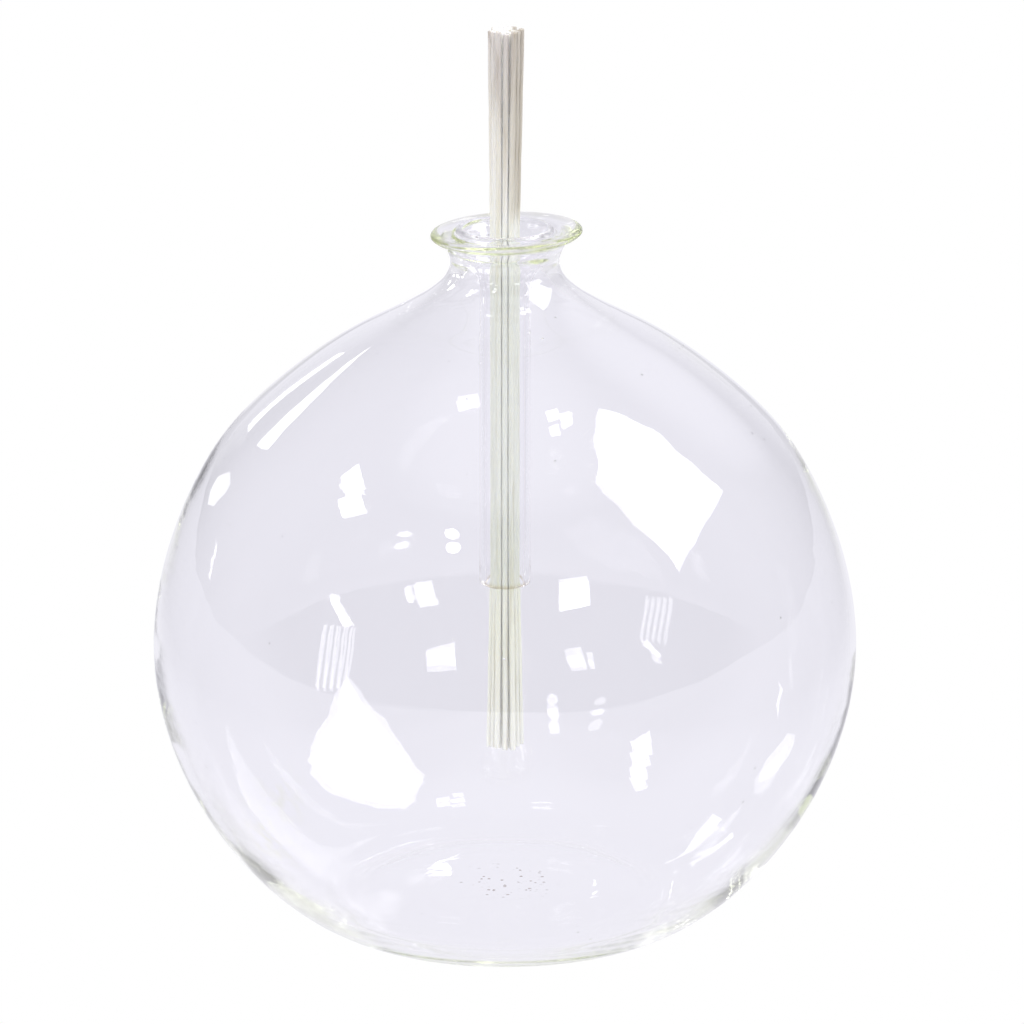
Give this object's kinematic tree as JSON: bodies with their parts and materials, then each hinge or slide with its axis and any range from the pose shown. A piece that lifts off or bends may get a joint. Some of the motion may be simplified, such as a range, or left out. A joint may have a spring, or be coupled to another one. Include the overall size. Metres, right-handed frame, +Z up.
{
  "type": "oil lamp",
  "caption": "Blown-glass globe oil lamp with a flared lip, a glass wick holder that drops into its throat, and a glass-fibre wick",
  "frame": {"origin": "centre of the resting face under the globe", "axes": "+Z up along the globe's axis and the wick; +X to the right of the lamp's front view, +Y away from it"},
  "size_m": [0.14, 0.14, 0.181],
  "materials": {
    "globe_glass": "clear blown soda-lime glass, faintly green in its thick edges",
    "holder_glass": "clear lampworked glass tube, fire-polished ends",
    "wick_fibre": "cream glass-fibre strands"
  },
  "bodies": {
    "globe_body": {"globe": "globe_glass"},
    "holder_body": {"wick_holder": "holder_glass"},
    "wick_body": {"wick_strand_01": "wick_fibre", "wick_strand_02": "wick_fibre", "wick_strand_03": "wick_fibre", "wick_strand_04": "wick_fibre", "wick_strand_05": "wick_fibre", "wick_strand_06": "wick_fibre", "wick_strand_07": "wick_fibre", "wick_strand_08": "wick_fibre", "wick_strand_09": "wick_fibre", "wick_strand_10": "wick_fibre", "wick_strand_11": "wick_fibre", "wick_strand_12": "wick_fibre", "wick_strand_13": "wick_fibre", "wick_strand_14": "wick_fibre", "wick_strand_15": "wick_fibre", "wick_strand_16": "wick_fibre", "wick_strand_17": "wick_fibre", "wick_strand_18": "wick_fibre", "wick_strand_19": "wick_fibre"}
  },
  "joints": [
    {"name": "holder_lift", "type": "slide", "parent": "globe_body", "child": "holder_body", "axis": [0, 0, 1], "range_m": [0, 0.12]},
    {"name": "wick_height", "type": "slide", "parent": "holder_body", "child": "wick_body", "axis": [0, 0, 1], "range_m": [-0.026, 0.12]}
  ]
}
